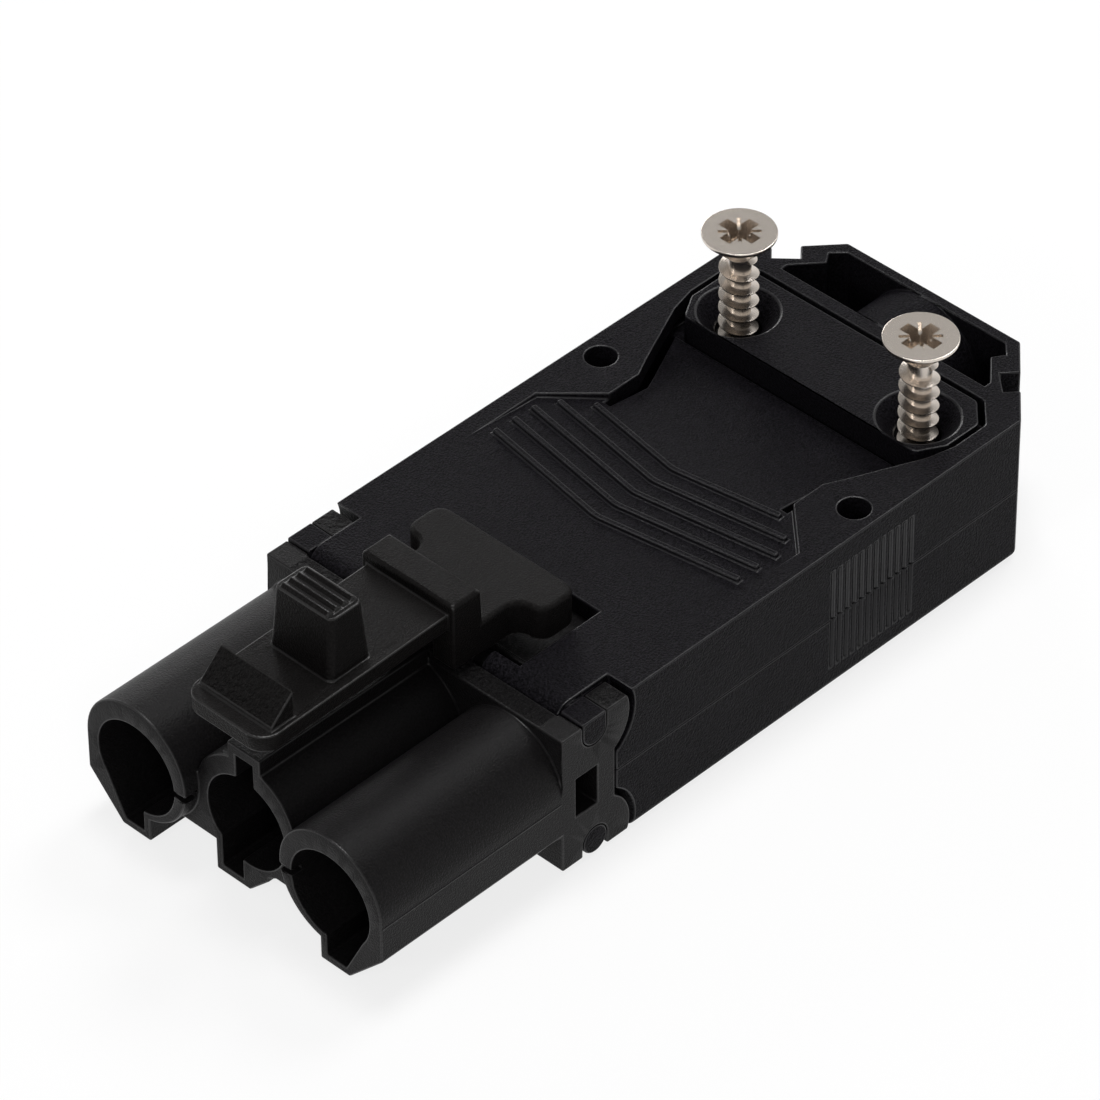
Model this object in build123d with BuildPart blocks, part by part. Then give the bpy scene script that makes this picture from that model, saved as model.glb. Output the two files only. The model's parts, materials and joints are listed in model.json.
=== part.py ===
from build123d import *
import os
from math import hypot, sqrt

# Rewireable three-pole installation connector, plug side, with a two-shell housing.
# +X runs across the poles, +Y towards the cable end, +Z up, and the origin is under the middle
# of the whole length, on the surface that the connector lies on. Sizes are in millimetres.
# "Distance" is measured back from the flange's front face, and "height" from the parting
# plane between the two shells, which is also the plane of the cable.

# Overall sizes
body_width = 30.0
shell_height = 13.4
body_length = 56.0
tube_length = 18.2
wall = 1.5
running_gap = 0.15

# Contact block: flange, hinge ears and the three tubes
flange_depth = 5.4
flange_height = 12.4
hinge_distance = 3.35
ear_radius = 3.6
ear_width = 2.3
ear_top_height = 6.4
pin_radius = 1.2
pin_fit = 0.05
nose_groove_gap = 0.25
side_window_width = 2.2
side_window_height = 3.6
side_window_depth = 3.0
side_window_distance = 2.5
tube_radius = 5.1
tube_rise = 0.8
bore_radius = 3.9
bore_rise = 0.2
bore_floor = 1.0
middle_tube_setback = 1.4
web_drop = 3.4
foot_inset = 1.15
foot_reach = 1.75
foot_slope_height = 2.7
foot_wall = 0.65
middle_foot_left = 3.3
middle_foot_right = 0.1
key_box_width = 3.3
key_box_height = 7.0
key_slot_width = 1.74
key_slot_height = 6.1

# Terminal carrier behind the flange, with one chamber for each pole
carrier_end = 18.8
carrier_top = 5.0
carrier_bottom = 4.9
cage_width = 5.0
cage_top = 3.4
cage_bottom = 2.6
cage_front = 7.5
cage_length = 9.4
cage_gap = 0.1
cage_front_wall = 2.6
cage_window_width = 3.2
cage_window_top = 2.4
cage_window_bottom = 0.8
screw_access_radius = 2.3
retainer_thickness = 1.6
retainer_gap = 0.1
funnel_radius = 1.9
funnel_mouth_radius = 2.5

# Contacts and their terminal screws
contact_radius = 1.25
contact_shank_radius = 1.6
contact_fit = 0.02
contact_tip_distance = 9.5
earth_lead = 1.5
contact_tail_radius = 0.9
contact_tail_length = 2.0
terminal_screw_radius = 1.5
terminal_head_radius = 2.0
terminal_head_height = 1.1
terminal_travel = 1.2
terminal_screw_distance = 13.2
terminal_slot_width = 0.6
terminal_slot_depth = 0.5
plate_width = 3.0
plate_length = 5.6
plate_thickness = 0.5

# Shells
chamfer_length = 7.0
chamfer_inset = 6.24
side_front_gap = 0.15
recess_gap = 0.5
bottom_round = 0.9
lever_window_width = 14.8
lever_window_front = 3.5
lever_window_rear = 11.7
nose_gap_width = 9.8
panel_start = 19.0
panel_margin = 1.7
panel_neck_margin = 5.7
panel_corner = 26.4
panel_end = 29.6
panel_drop = 0.5
tongue_drop = 2.0
tongue_thickness = 1.3
slit = 0.6
rib_count = 5
rib_first = 19.1
rib_pitch = 2.03
rib_rake = 0.163
rib_inset = 0.9
rib_bend = 3.0
rib_width = 0.5
rib_height = 0.3
blind_hole_radius = 1.25
blind_hole_margin = 2.14
blind_hole_distance = 32.95
blind_hole_depth = 4.0
blind_boss_wall = 0.85

# Grip grooves in the side walls
grip_count = 12
grip_first = 28.4
grip_pitch = 0.78
grip_width = 0.3
grip_depth = 0.14
grip_height = 4.6

# Clamping bay, its bar and screws
bay_margin = 1.6
bay_rear_margin = 7.1
bay_length = 8.1
bay_round = 0.7
strip_width = 1.3
bar_gap = 0.4
bar_thickness = 2.6
screw_margin = 5.87
screw_setback = 4.8
ledge_inner_x = 6.2
ledge_thickness = 1.5
screw_boss_radius = 3.0
screw_clearance_radius = 1.8
screw_thread_radius = 1.55
screw_core_radius = 1.1
screw_thread_fit = 0.07
screw_head_radius = 2.9
screw_head_rim = 0.25
screw_length = 12.0
screw_lift = 7.6
screw_seat_depth = 0.2
screw_tip_length = 1.3
recess_length = 3.2
recess_width = 0.7
recess_depth = 1.2
pad_half_width = 5.2
pad_length = 4.0
pad_setback = 4.3
pad_drop = 2.0
pad_arch_radius = 5.4
boss_floor = 0.8

# Cable outlet, its cradle and the window over it
outlet_radius = 4.4
outlet_rise = 1.2
outlet_drop = 0.4
vault_wall = 1.1
rear_wall = 0.9
window_floor = 1.0
window_margin = 4.7
window_waist_margin = 6.7
window_waist_setback = 2.9
chamfer_wall_notch = 1.1
notch_start = 3.3
notch_length = 2.9
notch_depth = 4.0
cradle_length = 6.6
cradle_setback = 4.6
cradle_top = 1.6
cradle_rib_count = 3
cradle_rib_height = 0.6
cradle_rib_width = 1.0

# Latch lever
lever_arm_width = 8.2
lever_arm_front = 18.6
lever_arm_under_front = 10.0
lever_arm_under_rear = 10.45
lever_arm_thickness = 1.4
lever_corner = 1.6
bridge_width = 9.2
bridge_front = 0.3
bridge_rear = 2.5
bridge_top = 12.8
bridge_under = 6.9
leg_width = 2.2
leg_gap_top = 9.6
tail_top = 9.7
tail_under = 6.75
tail_neck = 5.0
tail_rear = 10.0
tail_half_width = 7.0
tail_curve = 1.2
tail_round = 0.4
bridge_round = 0.35
ramp_front = 17.35
ramp_rear = 15.1
ramp_top = 13.8
ramp_front_top = 11.7
ramp_width = 7.3
knob_front = 11.1
knob_rear = 6.9
knob_width = 6.3
knob_top = 16.9
knob_taper = 0.55
knob_round = 0.5
ridge_count = 4
ridge_height = 0.4
axle_radius = 0.9
axle_fit = 0.05
axle_rib_width = 2.4
axle_end_rib = 0.45
lug_radius = 1.5
lug_width = 1.8
lug_x = 3.1
stem_front = 2.3
stem_rear = 4.4

# Values that follow from the sizes above
half_width = body_width / 2
half_height = shell_height / 2
inner_half_width = half_width - wall
inner_height = half_height - wall
hinge_height = inner_height
flange_half = flange_height / 2
overall_length = body_length + lever_arm_front
flange_y = overall_length / 2 - body_length
parting_z = half_height
ear_inner_x = half_width - ear_width
nose_radius = wall
nose_half_width = ear_inner_x - running_gap
groove_radius = nose_radius + nose_groove_gap
side_front = flange_depth + side_front_gap
recess_radius = ear_radius + recess_gap
pole_pitch = half_width - tube_radius
poles = {"line": -pole_pitch, "earth": 0.0, "neutral": pole_pitch}
middle_tube_length = tube_length - middle_tube_setback
chamber_half = cage_width / 2 + cage_gap
carrier_half = pole_pitch + chamber_half + 0.7
retainer_distance = carrier_end - running_gap - retainer_thickness
rear_half = half_width - chamfer_inset
chamfer_distance = body_length - chamfer_length
panel_half_width = half_width - panel_margin
panel_neck = half_width - panel_neck_margin
blind_hole_x = half_width - blind_hole_margin
bay_half_width = half_width - bay_margin
bay_rear = body_length - bay_rear_margin
bar_front = bay_rear - bay_length
tongue_end = bar_front - 0.3
screw_x = half_width - screw_margin
screw_distance = bay_rear - screw_setback
pad_middle = bay_rear - pad_setback
cradle_middle = bay_rear - cradle_setback
window_half_width = half_width - window_margin
window_waist = half_width - window_waist_margin
window_waist_distance = body_length - window_waist_setback
bar_top = half_height
bar_under = half_height - bar_thickness
bar_half_width = bay_half_width - bar_gap
bar_rear = bay_rear - bar_gap
screw_cone = screw_head_radius - screw_core_radius
tongue_surface = half_height - panel_drop
window_front = bay_rear + strip_width
window_rear = body_length - rear_wall


def across(distance):
    """Plane square to the length: local x is X, local y is height, and -Z goes to the rear."""
    return Plane(origin=(0, flange_y + distance, parting_z), x_dir=(1, 0, 0), z_dir=(0, -1, 0))


def beside(x):
    """Plane square to X: local x is distance, local y is height."""
    return Plane(origin=(x, flange_y, parting_z), x_dir=(0, 1, 0), z_dir=(1, 0, 0))


def above(height):
    """Plan view at a height: local x is X, local y is distance."""
    return Plane(origin=(0, flange_y, parting_z + height), x_dir=(1, 0, 0), z_dir=(0, 0, 1))


def keep(builder, name):
    """Labels a finished piece and writes it under its name."""
    builder.part.label = name
    export_step(builder.part, f"parts/{name}.step")


def both_sides(points):
    """A half outline, front to rear on the +X side, and its mirror image, as one closed loop."""
    return points + [(-x, d) for x, d in reversed(points)]


os.makedirs("parts", exist_ok=True)

# Contact block: one moulding with the tubes in front, the hinge ears and the terminal carrier
with BuildPart() as contact_block:
    with BuildSketch(across(0)):
        Rectangle(body_width, flange_height)
    extrude(amount=-flange_depth)
    # Ears, concentric with the two hinge lines
    with BuildSketch(beside(ear_inner_x)):
        with Locations((hinge_distance, hinge_height), (hinge_distance, -hinge_height)):
            Circle(ear_radius)
        with Locations((hinge_distance, 0)):
            Rectangle(2 * ear_radius, 2 * ear_top_height, mode=Mode.INTERSECT)
        with Locations((hinge_distance + flange_depth, 0)):
            Rectangle(2 * flange_depth, 2 * ear_top_height, mode=Mode.INTERSECT)
    extrude(amount=ear_width)
    # Outer tube with its polarising foot
    with BuildSketch(across(-tube_length)):
        with Locations((pole_pitch, tube_rise)):
            Circle(tube_radius)
        Polygon(
            (pole_pitch - foot_inset, tube_rise),
            (pole_pitch - foot_inset, -flange_half),
            (pole_pitch + foot_reach, -flange_half),
            (half_width, -foot_slope_height),
            (half_width, tube_rise),
            align=None,
        )
    extrude(amount=-tube_length)
    mirror(about=Plane.YZ)
    # Open slots in the ears for the shells' hinge pins
    with BuildSketch(beside(-half_width)):
        for side in (1, -1):
            with Locations((hinge_distance, side * hinge_height)):
                Circle(pin_radius + pin_fit)
            with Locations((hinge_distance, side * (hinge_height + ear_radius / 2))):
                Rectangle(2 * (pin_radius + pin_fit), ear_radius)
    extrude(amount=body_width, mode=Mode.SUBTRACT)
    # Square pocket in each side face, between the two ears
    for side in (1, -1):
        with BuildSketch(beside(side * (half_width - side_window_depth / 2))):
            with Locations((side_window_distance, 0)):
                Rectangle(side_window_width, side_window_height)
        extrude(amount=side_window_depth / 2, both=True, mode=Mode.SUBTRACT)
    # Middle tube, set back a little, with its foot off centre and the key box on top
    with BuildSketch(across(-middle_tube_length)):
        with Locations((0, tube_rise)):
            Circle(tube_radius)
        Polygon(
            (-middle_foot_left, 0),
            (-middle_foot_left, -flange_half),
            (middle_foot_right, -flange_half),
            (middle_foot_right + 2, -flange_half + 2),
            (middle_foot_right + 2, 0),
            align=None,
        )
        with Locations((0, key_box_height / 2)):
            Rectangle(key_box_width, key_box_height)
        with Locations((0, (tube_rise - web_drop) / 2)):
            Rectangle(2 * pole_pitch, tube_rise + web_drop)
    extrude(amount=-middle_tube_length)
    # Terminal carrier
    with BuildSketch(across(flange_depth)):
        with Locations((0, (carrier_top - carrier_bottom) / 2)):
            Rectangle(2 * carrier_half, carrier_top + carrier_bottom)
    extrude(amount=flange_depth - carrier_end)
    # Bores of the tubes, with the channel in each foot
    with BuildSketch(across(-tube_length)):
        for x in poles.values():
            with Locations((x, bore_rise)):
                Circle(bore_radius)
        for side in (1, -1):
            Polygon(
                (side * (pole_pitch - foot_inset + foot_wall), 0),
                (side * (pole_pitch - foot_inset + foot_wall), foot_wall - flange_half),
                (side * (pole_pitch + foot_reach - foot_wall / 2), foot_wall - flange_half),
                (side * (pole_pitch + 0.9 * bore_radius), bore_rise - 0.4 * bore_radius),
                (side * (pole_pitch + 0.9 * bore_radius), 0),
                align=None,
            )
        Polygon(
            (-middle_foot_left + foot_wall, 0),
            (-middle_foot_left + foot_wall, foot_wall - flange_half),
            (middle_foot_right - foot_wall, foot_wall - flange_half),
            (middle_foot_right - foot_wall, 0),
            align=None,
        )
        with Locations((0, key_slot_height / 2)):
            Rectangle(key_slot_width, key_slot_height)
    extrude(amount=bore_floor - tube_length, mode=Mode.SUBTRACT)
    # Chambers for the terminal cages, the rebate for their retainer and the screw access holes
    with BuildSketch(across(carrier_end)):
        for x in poles.values():
            with Locations((x, (cage_top - cage_bottom) / 2 + cage_gap)):
                Rectangle(2 * chamber_half, cage_top + cage_bottom + 4 * cage_gap)
    extrude(amount=carrier_end - cage_front, mode=Mode.SUBTRACT)
    with BuildSketch(across(carrier_end)):
        with Locations((0, (cage_top - cage_bottom) / 2 + cage_gap)):
            Rectangle(2 * (pole_pitch + chamber_half), cage_top + cage_bottom + 4 * cage_gap)
    extrude(amount=carrier_end - retainer_distance, mode=Mode.SUBTRACT)
    with BuildSketch(above(-carrier_bottom)):
        for x in poles.values():
            with Locations((x, terminal_screw_distance)):
                Circle(screw_access_radius)
    extrude(amount=carrier_bottom - cage_bottom, mode=Mode.SUBTRACT)
    # Holes that hold the contact pins
    with BuildSketch(across(-bore_floor)):
        for x in poles.values():
            with Locations((x, bore_rise)):
                Circle(contact_shank_radius + contact_fit)
    extrude(amount=-(bore_floor + cage_front), mode=Mode.SUBTRACT)
    # Grooves between the ears for the shells' hinge noses
    with BuildSketch(beside(-ear_inner_x)):
        for side in (1, -1):
            with Locations((hinge_distance, side * hinge_height)):
                Circle(groove_radius)
            with Locations((hinge_distance + flange_depth / 2, side * (hinge_height + wall / 2))):
                Rectangle(flange_depth, wall + 2 * running_gap)
    extrude(amount=2 * ear_inner_x, mode=Mode.SUBTRACT)
    # Axle for the latch lever in the upper groove, carried by three ribs
    with BuildSketch(beside(-nose_gap_width / 2 + running_gap)):
        with Locations((hinge_distance, hinge_height)):
            Circle(axle_radius)
    extrude(amount=nose_gap_width - 2 * running_gap)
    with BuildSketch(beside(0)):
        with Locations((hinge_distance, hinge_height - groove_radius / 2)):
            Rectangle(2 * axle_radius, groove_radius + axle_radius / 2)
    extrude(amount=axle_rib_width / 2, both=True)
    for side in (1, -1):
        with BuildSketch(beside(side * (nose_gap_width / 2 - running_gap - axle_end_rib / 2))):
            with Locations((hinge_distance, hinge_height - groove_radius / 2)):
                Rectangle(2 * axle_radius, groove_radius + axle_radius / 2)
        extrude(amount=axle_end_rib / 2, both=True)
keep(contact_block, "contact_block")

# Retainer plate that closes the terminal chambers, with a wire funnel for each pole
with BuildPart() as contact_retainer:
    with BuildSketch(across(retainer_distance)):
        with Locations((0, (cage_top - cage_bottom) / 2 + cage_gap)):
            Rectangle(
                2 * (pole_pitch + chamber_half - retainer_gap),
                cage_top + cage_bottom + 4 * cage_gap - 2 * retainer_gap,
            )
    extrude(amount=-retainer_thickness)
    window_middle = (cage_window_top - cage_window_bottom) / 2
    for x in poles.values():
        with BuildSketch(across(retainer_distance + retainer_thickness)):
            with Locations((x, window_middle)):
                Circle(funnel_mouth_radius)
        with BuildSketch(across(retainer_distance + retainer_thickness / 2)):
            with Locations((x, window_middle)):
                Circle(funnel_radius)
        loft(mode=Mode.SUBTRACT)
        with BuildSketch(across(retainer_distance)):
            with Locations((x, window_middle)):
                Circle(funnel_radius)
        extrude(amount=-retainer_thickness, mode=Mode.SUBTRACT)
keep(contact_retainer, "contact_retainer")

# The three poles: contact pin, terminal cage, pressure plate and terminal screw
for pole, x in poles.items():
    tip_distance = contact_tip_distance + (earth_lead if pole == "earth" else 0)
    with BuildPart() as contact_pin:
        with BuildSketch(across(-tip_distance)):
            with Locations((x, bore_rise)):
                Circle(contact_radius)
        extrude(amount=bore_floor - tip_distance)
        tip = contact_pin.faces().sort_by(Axis.Y)[0]
        chamfer(tip.edges(), 0.5 * contact_radius)
        with BuildSketch(across(-bore_floor)):
            with Locations((x, bore_rise)):
                Circle(contact_shank_radius)
        extrude(amount=-(bore_floor + cage_front))
        with BuildSketch(across(cage_front)):
            with Locations((x, bore_rise)):
                Circle(contact_tail_radius)
        extrude(amount=-contact_tail_length)
    keep(contact_pin, f"contact_pin_{pole}")

    with BuildPart() as terminal_cage:
        with BuildSketch(across(cage_front)):
            with Locations((x, (cage_top - cage_bottom) / 2)):
                Rectangle(cage_width, cage_top + cage_bottom)
        extrude(amount=-cage_length)
        with BuildSketch(across(cage_front + cage_front_wall)):
            with Locations((x, window_middle)):
                Rectangle(cage_window_width, cage_window_top + cage_window_bottom)
        extrude(amount=cage_front_wall - cage_length, mode=Mode.SUBTRACT)
        with BuildSketch(across(cage_front)):
            with Locations((x, bore_rise)):
                Circle(contact_tail_radius + contact_fit)
        extrude(amount=-contact_tail_length, mode=Mode.SUBTRACT)
        with BuildSketch(above(-cage_bottom)):
            with Locations((x, terminal_screw_distance)):
                Circle(terminal_screw_radius + pin_fit)
        extrude(amount=cage_bottom - cage_window_bottom, mode=Mode.SUBTRACT)
    keep(terminal_cage, f"terminal_cage_{pole}")

    with BuildPart() as pressure_plate:
        with BuildSketch(above(-cage_window_bottom)):
            with Locations((x, terminal_screw_distance)):
                Rectangle(plate_width, plate_length)
        extrude(amount=plate_thickness)
    keep(pressure_plate, f"pressure_plate_{pole}")

    with BuildPart() as terminal_screw:
        with BuildSketch(above(-cage_window_bottom)):
            with Locations((x, terminal_screw_distance)):
                Circle(terminal_screw_radius)
        extrude(amount=cage_window_bottom - cage_bottom - terminal_travel)
        with BuildSketch(above(-cage_bottom - terminal_travel)):
            with Locations((x, terminal_screw_distance)):
                Circle(terminal_head_radius)
        extrude(amount=-terminal_head_height)
        with BuildSketch(above(-cage_bottom - terminal_travel - terminal_head_height)):
            with Locations((x, terminal_screw_distance)):
                Rectangle(3 * terminal_head_radius, terminal_slot_width)
        extrude(amount=terminal_slot_depth, mode=Mode.SUBTRACT)
    keep(terminal_screw, f"terminal_screw_{pole}")

# Plan of a shell behind the ears: straight sides and two cut corners at the cable end
shell_plan = both_sides([
    (half_width, side_front),
    (half_width, chamfer_distance),
    (rear_half, body_length),
])
# Plan of the clamping bay: a neck beside the tongue, flaring to the full bay
bay_plan = both_sides([
    (panel_neck, panel_end),
    (panel_neck, panel_end + 3.8),
    (panel_neck + 0.8, panel_end + 5.4),
    (bay_half_width - 0.6, bar_front + 0.2),
    (bay_half_width, bar_front + 2.6),
    (bay_half_width, bay_rear - 2.1),
    (bay_half_width - 2.0, bay_rear),
])
# Plan of the tongue, a slit inside the bay's walls
tongue_plan = both_sides([
    (panel_neck - slit, panel_end - 1),
    (panel_neck - slit, panel_end + 4),
    (panel_neck - slit + 0.8, panel_end + 5.6),
    (bay_half_width - 0.5 - slit, tongue_end),
])
# Plan of the shallow recess that the ribs stand in
panel_plan = both_sides([
    (panel_half_width, panel_start),
    (panel_half_width, panel_corner),
    (panel_neck, panel_end + 0.6),
])
window_plan = both_sides([
    (window_half_width, window_front),
    (window_half_width, window_front + 0.6),
    (window_waist, window_waist_distance),
    (window_waist + 0.7, window_waist_distance + 1),
    (window_waist - 0.3, window_rear),
])

# Sloping tongue between the ribs and the clamping bar
with BuildPart() as tongue:
    with BuildSketch(above(0)):
        Polygon(*tongue_plan, align=None)
    extrude(amount=half_height)
    with BuildSketch(beside(-half_width)):
        Polygon(
            (panel_end - 1, tongue_surface),
            (panel_end, tongue_surface),
            (tongue_end, tongue_surface - tongue_drop * 0.8),
            (tongue_end, tongue_surface - tongue_drop * 0.8 - tongue_thickness),
            (panel_end, tongue_surface - tongue_thickness),
            (panel_end - 1, tongue_surface - tongue_thickness),
            align=None,
        )
    extrude(amount=body_width, mode=Mode.INTERSECT)

# Wedge that sinks the ribbed panel below the top
with BuildPart() as panel_wedge:
    with BuildSketch(above(0)):
        Polygon(*panel_plan, align=None)
    extrude(amount=half_height + 1)
    with BuildSketch(beside(-half_width)):
        Polygon(
            (panel_start, half_height),
            (panel_end + 1, half_height - panel_drop * (panel_end + 1 - panel_start) / (panel_end - panel_start)),
            (panel_end + 1, half_height + 1),
            (panel_start, half_height + 1),
            align=None,
        )
    extrude(amount=body_width, mode=Mode.INTERSECT)


# Hinge nose and pins of the upper shell; the lower shell has the same ones, mirrored
with BuildPart() as hinge_nose:
    with BuildSketch(beside(-nose_half_width)):
        with Locations((hinge_distance, hinge_height)):
            Circle(nose_radius)
        with Locations(((hinge_distance + side_front + wall) / 2, half_height - wall / 2)):
            Rectangle(side_front + wall - hinge_distance, wall)
    extrude(amount=2 * nose_half_width)
    with BuildSketch(beside(-half_width)):
        with Locations((hinge_distance, hinge_height)):
            Circle(pin_radius)
    extrude(amount=body_width)

# Round clearance for the ears in a shell's front corners
with BuildPart() as ear_clearance:
    for start in (nose_half_width, -half_width):
        with BuildSketch(beside(start)):
            with Locations((hinge_distance, hinge_height)):
                Circle(recess_radius)
        extrude(amount=half_width - nose_half_width)

parting_plane = Plane.XY.offset(parting_z)

# Upper shell: roof, sides and cable end, with the ribs, tongue, clamping bay and outlet window
with BuildPart() as upper_shell:
    with BuildSketch(above(0)):
        Polygon(*shell_plan, align=None)
    extrude(amount=half_height)
    with BuildSketch(above(0)):
        with Locations((0, bay_rear / 2)):
            Rectangle(2 * inner_half_width, bay_rear)
    extrude(amount=inner_height, mode=Mode.SUBTRACT)
    add(ear_clearance.part, mode=Mode.SUBTRACT)
    add(hinge_nose.part)
    # Flat blocks over the upper hinge pins, which fill the slots in the ears
    for side in (1, -1):
        with BuildSketch(beside(side * (half_width - ear_width / 2))):
            with Locations((hinge_distance, (hinge_height + ear_top_height) / 2)):
                Rectangle(2 * pin_radius, ear_top_height - hinge_height)
        extrude(amount=ear_width / 2, both=True)
    # Window under the lever's tail and the gap in the nose for its stem
    with BuildSketch(above(inner_height - nose_radius)):
        with Locations((0, (lever_window_front + lever_window_rear) / 2)):
            Rectangle(lever_window_width, lever_window_rear - lever_window_front)
        with Locations((0, lever_window_front / 2)):
            Rectangle(nose_gap_width, lever_window_front + 1)
    extrude(amount=wall + 2 * nose_radius, mode=Mode.SUBTRACT)
    # Blind round holes beside the tongue, in bosses under the roof
    with BuildSketch(above(half_height - blind_hole_depth - wall)):
        with Locations((blind_hole_x, blind_hole_distance), (-blind_hole_x, blind_hole_distance)):
            Circle(blind_hole_radius + blind_boss_wall)
    extrude(amount=blind_hole_depth)
    with BuildSketch(above(half_height)):
        with Locations((blind_hole_x, blind_hole_distance), (-blind_hole_x, blind_hole_distance)):
            Circle(blind_hole_radius)
    extrude(amount=-blind_hole_depth, mode=Mode.SUBTRACT)
    # Ribbed panel, clamping bay and tongue
    add(panel_wedge.part, mode=Mode.SUBTRACT)
    with BuildSketch(above(bar_under)) as bay:
        Polygon(*bay_plan, align=None)
        fillet(bay.vertices().sort_by(Axis.Y)[-8:], bay_round)
    extrude(amount=bar_thickness, mode=Mode.SUBTRACT)
    add(tongue.part)
    for rib in range(rib_count):
        apex = rib_first + rib * rib_pitch
        rise = rib_rake * (panel_half_width - rib_inset)
        past_corner = max(0, apex + rise - panel_corner) / (panel_end + 0.6 - panel_corner)
        rib_end = panel_half_width - past_corner * (panel_half_width - panel_neck) - rib_inset
        surface = half_height - panel_drop * (apex - panel_start) / (panel_end - panel_start)
        with BuildSketch(above(surface - rib_height)):
            with BuildLine():
                FilletPolyline(
                    (-rib_end, apex + rib_rake * rib_end),
                    (0, apex),
                    (rib_end, apex + rib_rake * rib_end),
                    radius=rib_bend,
                )
            trace(line_width=rib_width)
        extrude(amount=2 * rib_height)
    # Fine upright grip grooves in both side walls
    with BuildSketch(above(0)):
        for groove in range(grip_count):
            for side in (1, -1):
                with Locations((side * half_width, grip_first + groove * grip_pitch)):
                    Rectangle(2 * grip_depth, grip_width)
    extrude(amount=grip_height, mode=Mode.SUBTRACT)
    # Ledges that carry the bar, with the screw bosses below them
    for side in (1, -1):
        with BuildSketch(above(bar_under - ledge_thickness)):
            with Locations((side * (ledge_inner_x + inner_half_width) / 2, (bar_front + bay_rear) / 2)):
                Rectangle(inner_half_width - ledge_inner_x, bay_rear - bar_front)
        extrude(amount=ledge_thickness)
        with BuildSketch(above(running_gap)):
            with Locations((side * screw_x, screw_distance)):
                Circle(screw_boss_radius)
        extrude(amount=bar_under - running_gap - ledge_thickness / 2)
        with BuildSketch(above(0)):
            with Locations((side * screw_x, screw_distance)):
                Circle(screw_clearance_radius)
        extrude(amount=bar_under, mode=Mode.SUBTRACT)
    # Window behind the bay, with the vault of the cable outlet standing in it
    with BuildSketch(above(window_floor)):
        Polygon(*window_plan, align=None)
    extrude(amount=half_height, mode=Mode.SUBTRACT)
    with BuildSketch(across(bay_rear)):
        with Locations((0, outlet_rise)):
            Circle(outlet_radius + vault_wall)
        with Locations((0, outlet_rise / 2)):
            Rectangle(2 * (outlet_radius + vault_wall), outlet_rise)
        with Locations((0, half_height / 2)):
            Rectangle(body_width, half_height, mode=Mode.INTERSECT)
    extrude(amount=bay_rear - body_length)
    with BuildSketch(across(bay_rear - 1)):
        with Locations((0, outlet_rise)):
            Circle(outlet_radius)
        with Locations((0, outlet_rise / 2)):
            Rectangle(2 * outlet_radius, outlet_rise)
    extrude(amount=bay_rear - body_length - 2, mode=Mode.SUBTRACT)
    # Notches in the top of the cut corners
    run = hypot(half_width - rear_half, body_length - chamfer_distance)
    along = ((half_width - rear_half) / run, (chamfer_distance - body_length) / run)
    with BuildSketch(above(half_height)):
        for side in (1, -1):
            corner = (
                rear_half + along[0] * (notch_start + notch_length / 2),
                body_length + along[1] * (notch_start + notch_length / 2),
            )
            turn = Vector(along[0], along[1]).get_signed_angle(Vector(1, 0))
            with Locations(Location((side * corner[0], corner[1]), (0, 0, side * -turn))):
                Rectangle(notch_length, 2 * chamfer_wall_notch)
    extrude(amount=-notch_depth, mode=Mode.SUBTRACT)
keep(upper_shell, "upper_shell")

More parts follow.
